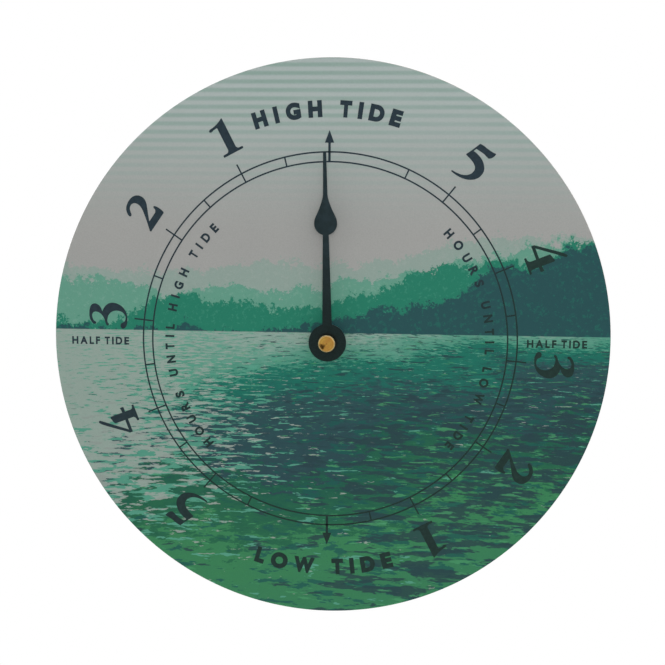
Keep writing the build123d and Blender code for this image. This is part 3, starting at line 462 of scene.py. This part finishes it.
def plain_metal(name, shade, roughness, scale=1.5, spread=0.1):
    """Plated or rolled metal with faint grain and stains."""
    paint = Finish(name, roughness, metallic=1.0)
    stretched = paint.put("VectorMath", 0, {0: paint.spot, 1: (0.4, 3, 3)}, operation="MULTIPLY")
    grain = paint.noise(scale * 2, 4, stretched)
    base = paint.mottle(shade, spread, scale * 0.25)
    paint.set("Base Color", paint.mix(paint.step(grain, 0.2, 0.8, 0, 0.25), base, white))
    paint.set("Roughness", paint.step(paint.noise(scale, 4), 0.3, 0.7, roughness * 0.75, roughness * 1.3))
    paint.bump(grain, 0.006 * mm, 0.5)
    return paint.material


def moulding(name, shade, roughness, texture, depth, **levels):
    """Moulded plastic or rubber with a fine eroded texture of a given depth in millimetres."""
    paint = Finish(name, roughness, **levels)
    paint.set("Base Color", paint.mottle(shade, 0.06, 0.12))
    pits = paint.noise(texture, 3, roughness=0.7)
    paint.set("Roughness", paint.step(pits, 0.3, 0.7, roughness * 0.85, roughness * 1.15))
    paint.bump(pits, depth * mm, 0.5)
    return paint.material


def battery_material():
    """A printed sleeve over a steel can: two plain tones, a band and the polarity signs."""
    paint = Finish("cell_can", roughness=0.3, Coat_Weight=0.4)
    low, high = (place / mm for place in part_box("battery"))
    middle = (low + high) / 2
    sleeve_start = low.x + 0.9
    sleeve_end = high.x - 2.1
    band = high.x - 14
    plus_place = band + 6
    minus_place = low.x + 6
    sign_reach, sign_half_width = 1.6, 0.35
    rear = paint.step(paint.y, middle.y - 0.1, middle.y + 0.1)
    pale = paint.step(paint.x, band - 0.05, band + 0.05)
    sleeve = paint.mix(pale, srgb(44, 48, 54), srgb(168, 170, 170))
    sleeve = paint.mix(paint.block(band - 1.4, middle.z, 0.4, 20), sleeve, srgb(196, 160, 84))
    plus = paint.math(
        "MAXIMUM",
        paint.block(plus_place, middle.z, sign_reach, sign_half_width),
        paint.block(plus_place, middle.z, sign_half_width, sign_reach),
    )
    sleeve = paint.mix(paint.times(plus, rear), sleeve, srgb(36, 38, 42))
    minus = paint.block(minus_place, middle.z, sign_reach, sign_half_width)
    sleeve = paint.mix(paint.times(minus, rear), sleeve, srgb(200, 202, 204))
    bare = paint.step(paint.x, sleeve_end - 0.05, sleeve_end + 0.05)
    bare = paint.math("MAXIMUM", bare, paint.step(paint.x, sleeve_start + 0.05, sleeve_start - 0.05))
    grain = paint.noise(1.2, 3, roughness=0.6)
    wear_and_highlight = paint.step(grain, 0.3, 0.7, 0.94, 1.04)
    sleeve = paint.dim(sleeve, wear_and_highlight)
    paint.set("Base Color", paint.mix(bare, sleeve, paint.mottle(srgb(196, 195, 190), 0.06, 0.8)))
    paint.set("Metallic", bare)
    paint.set("Roughness", paint.step(grain, 0.3, 0.7, 0.24, 0.34))
    paint.bump(grain, 0.01 * mm, 0.4)
    return paint.material


def board_material():
    """Sealed dense fibreboard: fine fibres, a few dark flecks, closed brown edge."""
    paint = Finish("dial_board", roughness=0.6)
    fibre = paint.noise(1.6, 6, roughness=0.75, distortion=0.8)
    base = paint.mix(paint.step(fibre, 0.3, 0.7), srgb(142, 112, 80), srgb(172, 142, 106))
    fleck = paint.step(paint.noise(3.5, 3, roughness=0.8), 0.66, 0.74)
    base = paint.mix(paint.times(fleck, 0.5), base, srgb(96, 70, 46))
    cloud = paint.step(paint.noise(0.03, 3), 0.3, 0.7, 0.9, 1.06)
    base = paint.dim(base, cloud)
    rim = paint.step(paint.span(), disc_radius / mm - 1, disc_radius / mm)
    paint.set("Base Color", paint.mix(paint.times(rim, 0.55), base, srgb(88, 64, 44)))
    paint.bump(fibre, 0.03 * mm, 0.6)
    return paint.material


def soften(node, width):
    """Round a CAD node's sharp edges a little."""
    weld = nodes[node].modifiers.new("weld", "WELD")
    weld.merge_threshold = 0.001 * mm
    bevel = nodes[node].modifiers.new("bevel", "BEVEL")
    bevel.width = width
    bevel.segments = 2
    bevel.limit_method = "ANGLE"
    bevel.angle_limit = math.radians(40)
    bevel.harden_normals = True


def dress(node, material):
    """Give a CAD node its material."""
    mesh = nodes[node].data
    mesh.materials.clear()
    mesh.materials.append(material)


def lathe(name, profile, material, segments=256):
    """Turn a closed profile of (radius, depth from the wall) about the hand's axis."""
    def build(shape):
        rings = []
        for step in range(segments):
            turn = math.tau * step / segments
            rings.append([
                shape.verts.new((radius * math.cos(turn), -depth, radius * math.sin(turn)))
                for radius, depth in profile
            ])
        for step in range(segments):
            here, there = rings[step], rings[(step + 1) % segments]
            for k in range(len(profile)):
                following = (k + 1) % len(profile)
                shape.faces.new((here[k], here[following], there[following], there[k]))
    return mesh_piece(name, build, material)


def rounded_edge(radius, depth, reach, steps=5):
    """Return profile points of a quarter round from the side to the front face."""
    points = []
    for step in range(steps + 1):
        turn = math.pi / 2 * step / steps
        points.append((radius - reach + reach * math.cos(turn), depth - reach + reach * math.sin(turn)))
    return points


# The cap nut: a knurled side, a chamfer where the knurl runs out, and a slightly domed face
cap_low, cap_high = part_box("hand_cap_nut")
cap_front = -cap_low.y
cap_rear = -cap_high.y
cap_radius = cap_high.x
cap_knurl_depth = 0.22 * mm
cap_root_radius = cap_radius - cap_knurl_depth
cap_bore_radius = 1.25 * mm
cap_bore_front = cap_front - 1 * mm
cap_chamfer_outer_depth = cap_front - 0.55 * mm
cap_chamfer_inner = cap_radius - 0.55 * mm
cap_chamfer_front = cap_front - 0.16 * mm
cap_shoulder_y = -(cap_front - 0.5 * mm)
cap_pip_radius = 0.22 * mm
cap_pip_depth = 0.12 * mm
cap_pip_cone = 0.02 * mm
cap_knurls = 40
cap_steps = 10
cap_groove_sharpness = 2.4


def build_cap(shape):
    dome = []
    for share in (0.97, 0.8, 0.6, 0.4, 0.2):
        sag = (cap_front - cap_chamfer_front) * share ** 2
        dome.append((cap_chamfer_inner * share, cap_front - sag, 0))
    # Radius of a ridge, depth, and how much of the knurl is cut there
    profile = (
        (cap_bore_radius, cap_rear, 0), (cap_root_radius - 0.3 * mm, cap_rear, 0),
        (cap_radius - 0.12 * mm, cap_rear + 0.18 * mm, 0.5), (cap_radius, cap_rear + 0.32 * mm, 1),
        (cap_radius, cap_rear + 2 * mm, 1), (cap_radius, cap_chamfer_outer_depth - 0.1 * mm, 1),
        (cap_radius - 0.04 * mm, cap_chamfer_outer_depth, 0.95),
        (cap_radius - 0.2 * mm, cap_chamfer_outer_depth + 0.16 * mm, 0.7),
        (cap_radius - 0.38 * mm, cap_chamfer_outer_depth + 0.31 * mm, 0.3),
        (cap_chamfer_inner, cap_chamfer_front, 0), *dome,
        (cap_pip_radius, cap_front, 0), (cap_pip_radius / 2, cap_front - cap_pip_depth, 0),
    )
    count = cap_knurls * cap_steps
    rings = []
    for radius, depth, cut in profile:
        ring = []
        for step in range(count):
            wave = (step % cap_steps) / cap_steps
            valley = 1 - abs(2 * wave - 1)
            reach = radius - cut * cap_knurl_depth * valley ** cap_groove_sharpness
            turn = math.tau * step / count
            ring.append(shape.verts.new((reach * math.cos(turn), -depth, reach * math.sin(turn))))
        rings.append(ring)
    bore = [shape.verts.new((vert.co.x, -cap_bore_front, vert.co.z)) for vert in rings[0]]
    rings.insert(0, bore)
    for inner, outer in zip(rings, rings[1:]):
        for step in range(count):
            following = (step + 1) % count
            shape.faces.new((inner[step], outer[step], outer[following], inner[following]))
    pip_bottom = cap_front - cap_pip_depth - cap_pip_cone
    for ring, depth in ((rings[0], cap_bore_front), (rings[-1], pip_bottom)):
        middle = shape.verts.new((0, -depth, 0))
        for step in range(count):
            shape.faces.new((ring[step], ring[(step + 1) % count], middle))


keep(
    mesh_piece("cap_nut_knurled", build_cap, cap_material(), 25),
    body="hand", stands_for=("hand_cap_nut",),
)

# The disc and its printed face, turned finely enough to stay round up close
dial_print = dial_print_material()
dial_board = board_material()
ink = ink_material()
disc_rear, disc_front = -disc_high.y, -disc_low.y
disc_rear_chamfer = 0.3 * mm
disc_edge_round = 0.6 * mm
face_edge_round = 0.12 * mm
disc_profile = [
    (bore_radius, disc_rear),
    (disc_radius - disc_rear_chamfer, disc_rear),
    (disc_radius, disc_rear + disc_rear_chamfer),
]
disc_profile += rounded_edge(disc_radius, disc_front, disc_edge_round)
disc_profile.append((bore_radius, disc_front))
keep(lathe("dial_board_disc", disc_profile, dial_board), stands_for=("dial_disc",))
face_profile = [(bore_radius, disc_front), (face_radius, disc_front)]
face_profile += rounded_edge(face_radius, -face_front, face_edge_round, 3)
face_profile.append((bore_radius, -face_front))
keep(lathe("printed_face", face_profile, dial_print), stands_for=("dial_face",))


def ink_slab(shape, points):
    """Add a flat closed ink shape with a given outline of (x, z) places."""
    front = [shape.verts.new((x, face_front - ink_thickness, z)) for x, z in points]
    rear = [shape.verts.new((x, face_front + ink_lap, z)) for x, z in points]
    shape.faces.new(front)
    shape.faces.new(list(reversed(rear)))
    count = len(points)
    for k in range(count):
        following = (k + 1) % count
        shape.faces.new((front[k], rear[k], rear[following], front[following]))


def ring_line(shape, radius, segments=360):
    """Add one printed ring line."""
    loops = []
    for reach in (radius - line_width / 2, radius + line_width / 2):
        for depth in (-ink_thickness, ink_lap):
            loop = []
            for step in range(segments):
                x, z = on_dial(0, 0, 360 * step / segments, reach)
                loop.append(shape.verts.new((x, face_front + depth, z)))
            loops.append(loop)
    inner_front, inner_rear, outer_front, outer_rear = loops
    for step in range(segments):
        following = (step + 1) % segments
        for one, other in (
            (inner_front, outer_front), (outer_front, outer_rear),
            (outer_rear, inner_rear), (inner_rear, inner_front),
        ):
            shape.faces.new((one[step], other[step], other[following], one[following]))


def tick(shape, angle, start, end, width):
    """Add a bar along a radius."""
    half = width / 2
    corners = ((-half, start), (half, start), (half, end), (-half, end))
    ink_slab(shape, [on_dial(across, 0, angle, reach) for across, reach in corners])


def build_scale(shape):
    for radius in ring_radii:
        ring_line(shape, radius)
    inner = ring_radii[0] + line_width / 2
    outer = ring_radii[1] - line_width / 2
    beyond = ring_radii[1] + line_width / 2
    for start, half_hour_step in tick_runs:
        for count in range(1, half_hours + 1):
            angle = start - count * half_hour_step
            tick(shape, angle, inner, outer, line_width)
            if count % 2 == 0:
                tick(shape, angle, beyond, hour_tick_radius, line_width)


def build_arrows(shape):
    for angle, tip in arrow_places:
        neck = tip - arrow_head_length
        half = arrow_shaft_width / 2
        head = arrow_head_width / 2
        corners = (
            (-half, ring_radii[0] + line_width / 2), (half, ring_radii[0] + line_width / 2),
            (half, neck), (head, neck), (0, tip), (-head, neck), (-half, neck),
        )
        ink_slab(shape, [on_dial(across, 0, angle, reach) for across, reach in corners])


keep(mesh_piece("scale_rings_and_ticks", build_scale, ink))
keep(mesh_piece("tide_arrows", build_arrows, ink))


def flat_mesh(curve):
    """Turn a flat curve or text into a mesh."""
    holder = bpy.data.objects.new(curve.name, curve)
    bpy.context.scene.collection.objects.link(holder)
    bpy.context.view_layer.update()
    ready = holder.evaluated_get(bpy.context.evaluated_depsgraph_get())
    mesh = bpy.data.meshes.new_from_object(ready)
    bpy.data.objects.remove(holder)
    return mesh


def printed(name, stamps):
    """Join flat meshes, each laid at an angle and radius of the dial, into one ink piece."""
    def build(shape):
        for mesh, shift, angle, radius in stamps:
            first = len(shape.verts)
            shape.from_mesh(mesh)
            shape.verts.ensure_lookup_table()
            for vert in shape.verts[first:]:
                x, z = on_dial(vert.co.x - shift, vert.co.y, angle, radius)
                depth = -ink_thickness if vert.co.z > 0 else ink_lap
                vert.co = (x, face_front + depth, z)
        bmesh.ops.remove_doubles(shape, verts=shape.verts, dist=0.001 * mm)
    return keep(mesh_piece(name, build, ink, 30))


def numeral_mesh(figure):
    """Return one numeral, filled from its outline."""
    curve = bpy.data.curves.new("numeral", "CURVE")
    curve.dimensions = "2D"
    curve.fill_mode = "BOTH"
    curve.extrude = ink_thickness
    curve.resolution_u = 6
    outline = numeral_outlines[figure]
    spline = curve.splines.new("BEZIER")
    spline.bezier_points.add(len(outline) - 1)
    spline.use_cyclic_u = True
    for point, place in zip(spline.bezier_points, outline):
        handle = "VECTOR" if place[2:] else "AUTO"
        point.co = (place[0] * mm, place[1] * mm, 0)
        point.handle_left_type = handle
        point.handle_right_type = handle
    return flat_mesh(curve)


def letter_mesh(letter, size, weight, width):
    """Return one letter and its left and right edge."""
    curve = bpy.data.curves.new("letter", "FONT")
    curve.body = letter
    curve.size = size
    curve.offset = weight * size
    curve.extrude = ink_thickness
    mesh = flat_mesh(curve)
    for vert in mesh.vertices:
        vert.co.x *= width * letter_widths.get(letter, 1)
    sides = [vert.co.x for vert in mesh.vertices]
    return mesh, min(sides), max(sides)


def cap_height(weight):
    """Return the height of a capital letter of size 1."""
    mesh, _, _ = letter_mesh("H", 1, weight, 1)
    heights = [vert.co.y for vert in mesh.vertices]
    return max(heights) - min(heights)


def spread_words(text, style, length):
    """Return letters with their places along a line, its first and last letter a length apart."""
    height, weight, width = style
    size = height / cap_height(weight)
    words = [[letter_mesh(letter, size, weight, width) for letter in word] for word in text.split()]
    widths = [[right - left for _, left, right in word] for word in words]
    gaps = sum(len(word) - 1 for word in words) + (len(words) - 1) * word_gap
    gap = (length - sum(map(sum, widths)) + (widths[0][0] + widths[-1][-1]) / 2) / gaps
    placed = []
    along = -widths[0][0] / 2
    for word, spans in zip(words, widths):
        for (mesh, left, right), span in zip(word, spans):
            placed.append((mesh, (left + right) / 2, along + span / 2))
            along += span + gap
        along += gap * (word_gap - 1)
    return placed


for name, style, radius, words in arc_words:
    stamps = []
    foot_radius = radius - style[0] / 2
    for text, start, end in words:
        length = abs(math.radians(end - start) * radius)
        for mesh, middle, along in spread_words(text, style, length):
            angle = start + (end - start) * along / length
            stamps.append((mesh, middle, angle, foot_radius))
    printed(name, stamps)

half_tide_stamps = []
for across, up in half_tide_places:
    foot = up - half_tide_letters[0] / 2
    first_letter = across - half_tide_length / 2
    for mesh, middle, along in spread_words("HALF TIDE", half_tide_letters, half_tide_length):
        half_tide_stamps.append((mesh, middle - first_letter - along, 0, foot))
printed("half_tide_words", half_tide_stamps)
printed("hour_numerals", [
    (numeral_mesh(figure), 0, angle, radius * mm) for figure, angle, radius in numeral_places
])

# Materials of the CAD nodes
white_moulding = moulding("white_moulding", srgb(226, 223, 212), 0.35, 4, 0.006, Subsurface_Weight=0.05)
natural_moulding = moulding("natural_moulding", srgb(204, 198, 182), 0.42, 3, 0.01)
black_moulding = moulding("black_moulding", srgb(34, 35, 38), 0.5, 3.2, 0.035)
steel = plain_metal("steel", srgb(178, 182, 186), 0.34)
spring_strip = plain_metal("spring_strip", srgb(198, 192, 176), 0.25)
brass = turned_metal("brass", srgb(206, 166, 92), srgb(182, 142, 74), 0.3)
soft_iron = plain_metal("soft_iron", srgb(138, 138, 144), 0.42)
copper = plain_metal("copper", srgb(190, 104, 64), 0.3, 6, 0.15)
finishes = {
    "tide_hand": hand_material(),
    "hand_collet": brass, "tide_arbor": brass, "hex_nut": brass, "centre_bush": brass,
    "flat_washer": steel, "wall_hanger": steel, "core_screws": steel, "core_rivet": steel,
    "board_screws": steel, "bridge_screws": steel, "setting_arbor": steel,
    "rubber_gasket": moulding("rubber", srgb(30, 30, 31), 0.75, 4, 0.02),
    "movement_case": black_moulding, "movement_cover": black_moulding,
    "battery": battery_material(),
    "positive_contact": spring_strip, "negative_contact": spring_strip, "clutch_spring": spring_strip,
    "circuit_board": moulding("board_green", srgb(24, 92, 52), 0.3, 1.5, 0.01),
    "control_chip": moulding("chip_black", srgb(22, 22, 24), 0.35, 5, 0.01),
    "quartz_crystal": plain_metal("crystal_can", srgb(206, 204, 198), 0.22),
    "coil_bobbin": natural_moulding, "train_bridge": natural_moulding,
    "coil_winding": copper, "coil_leads": copper,
    "stator": soft_iron, "coil_core": soft_iron,
    "rotor_magnet": plain_metal("magnet", srgb(70, 70, 76), 0.5, 3, 0.15),
    "rotor_pinion": white_moulding, "first_wheel": white_moulding, "second_wheel": white_moulding,
    "third_wheel": white_moulding, "clutch_wheel": white_moulding, "tide_wheel": white_moulding,
    "setting_knob": moulding("knob_plastic", srgb(206, 203, 192), 0.4, 3, 0.015),
}
for node, material in finishes.items():
    dress(node, material)
edge_rounds = {
    "movement_case": 0.3, "movement_cover": 0.1, "wall_hanger": 0.12, "setting_knob": 0.12,
    "tide_hand": 0.06, "hand_collet": 0.08, "hex_nut": 0.15,
}
for node, width in edge_rounds.items():
    soften(node, width * mm)


# Stage: a pale floor well below the hanging clock, fading to the white background
floor_height = -0.25
floor_radius = 2.0
fade_start = 0.1
fade_end = 0.24


def white_share(tree):
    """Return how far a ray belongs to the camera, a mirror or glass."""
    path = tree.nodes.new("ShaderNodeLightPath")
    total = path.outputs["Is Camera Ray"]
    for kind in ("Is Glossy Ray", "Is Transmission Ray"):
        joined = tree.nodes.new("ShaderNodeMath")
        joined.operation = "MAXIMUM"
        tree.links.new(total, joined.inputs[0])
        tree.links.new(path.outputs[kind], joined.inputs[1])
        total = joined.outputs[0]
    return total


def floor_material():
    paint = Finish("floor", roughness=0.8)
    paint.set("Base Color", paint.mottle((0.82, 0.82, 0.81, 1), 0.02, 0.02))
    squares = paint.add(paint.times(paint.x, paint.x), paint.times(paint.y, paint.y))
    far = paint.step(paint.math("SQRT", squares), fade_start / mm, fade_end / mm)
    share = paint.times(far, white_share(paint.tree))
    glow = paint.put("Emission", 0, {"Color": white, "Strength": 1.0})
    blend = paint.put("MixShader", 0, {0: share, 1: paint.shader.outputs[0], 2: glow})
    under = paint.put("NewGeometry", "Backfacing")
    blend = paint.put("MixShader", 0, {0: under, 1: blend, 2: paint.put("BsdfTransparent")})
    output = paint.tree.nodes["Material Output"]
    paint.tree.links.new(blend, output.inputs["Surface"])
    return paint.material


def build_floor(shape):
    bmesh.ops.create_circle(
        shape, cap_ends=True, segments=96, radius=floor_radius,
        matrix=Matrix.Translation((0, 0, floor_height)),
    )


floor = mesh_piece("floor", build_floor, floor_material())

# A dark wedge of card beside the camera, seen only in the gloss of the metal
card_depth = -0.42
card_tip = (-0.0405, -0.0585)
card_reach = 0.1
card_angles = (168, 192, 216, 244)


def build_card(shape):
    corners = [shape.verts.new((card_tip[0], card_depth, card_tip[1]))]
    for angle in card_angles:
        turn = math.radians(angle)
        x = card_tip[0] + card_reach * math.cos(turn)
        z = card_tip[1] + card_reach * math.sin(turn)
        corners.append(shape.verts.new((x, card_depth, z)))
    shape.faces.new(corners)


card_finish = Finish("dark_card", roughness=0.9, Specular_IOR_Level=0.0)
card_finish.set("Base Color", card_finish.mottle((0.02, 0.02, 0.02, 1), 0.2, 0.05))
card = mesh_piece("dark_card", build_card, card_finish.material)
card.visible_camera = False
card.visible_diffuse = False
card.visible_shadow = False
card.visible_transmission = False

# World: white to the camera, mirrors and glass, and dimmer as a light on the object
world = bpy.data.worlds.new("studio")
bpy.context.scene.world = world
world.use_nodes = True
background = world.node_tree.nodes["Background"]
ambient = 0.4
level = world.node_tree.nodes.new("ShaderNodeMapRange")
level.inputs[3].default_value = ambient
level.inputs[4].default_value = 1.0
world.node_tree.links.new(white_share(world.node_tree), level.inputs[0])
world.node_tree.links.new(level.outputs[0], background.inputs["Strength"])
background.inputs["Color"].default_value = white


def lamp(name, place, target, size, power, mirrored=True):
    """Add a soft square lamp that points at a target, and say whether gloss mirrors it."""
    light = bpy.data.lights.new(name, "AREA")
    light.size = size
    light.energy = power
    item = bpy.data.objects.new(name, light)
    item.location = place
    item.visible_glossy = mirrored
    item.rotation_mode = "QUATERNION"
    item.rotation_quaternion = (Vector(target) - Vector(place)).to_track_quat("-Z", "Y")
    bpy.context.scene.collection.objects.link(item)


centre = (0, face_front, 0)
lamp("front", (0.1, -1.3, 0.12), centre, 0.4, 5.2, mirrored=False)
lamp("key", (0.6, -0.8, 0.6), centre, 1.2, 1.8)
lamp("fill", (-0.8, -0.5, 0.3), centre, 0.9, 0.6)
lamp("rear", (-0.1, 1.3, 0.12), centre, 0.4, 5.2, mirrored=False)
lamp("top", (0, 0, 1.4), centre, 0.8, 7, mirrored=False)
lamp("rear_key", (0.55, 0.7, 0.7), centre, 0.6, 3)
lamp("rear_fill", (-0.8, 0.5, 0.2), centre, 0.7, 1.5)

# Camera at the photographed view
camera_place = Vector((21.46 * mm, -354.3 * mm, 32.93 * mm))
camera_target = Vector((1.474 * mm, -21.4 * mm, 3.184 * mm))
camera_roll = 0.623
lens = 50.52
view = bpy.data.cameras.new("camera")
view.lens = lens
view.sensor_width = 36
view.clip_start = 0.01
camera = bpy.data.objects.new("camera", view)
camera.location = camera_place
camera.rotation_mode = "QUATERNION"
aim = (camera_target - camera_place).to_track_quat("-Z", "Y")
camera.rotation_quaternion = aim @ Quaternion((0, 0, 1), math.radians(camera_roll))
bpy.context.scene.collection.objects.link(camera)
bpy.context.scene.camera = camera
bpy.context.scene.view_settings.view_transform = "Standard"
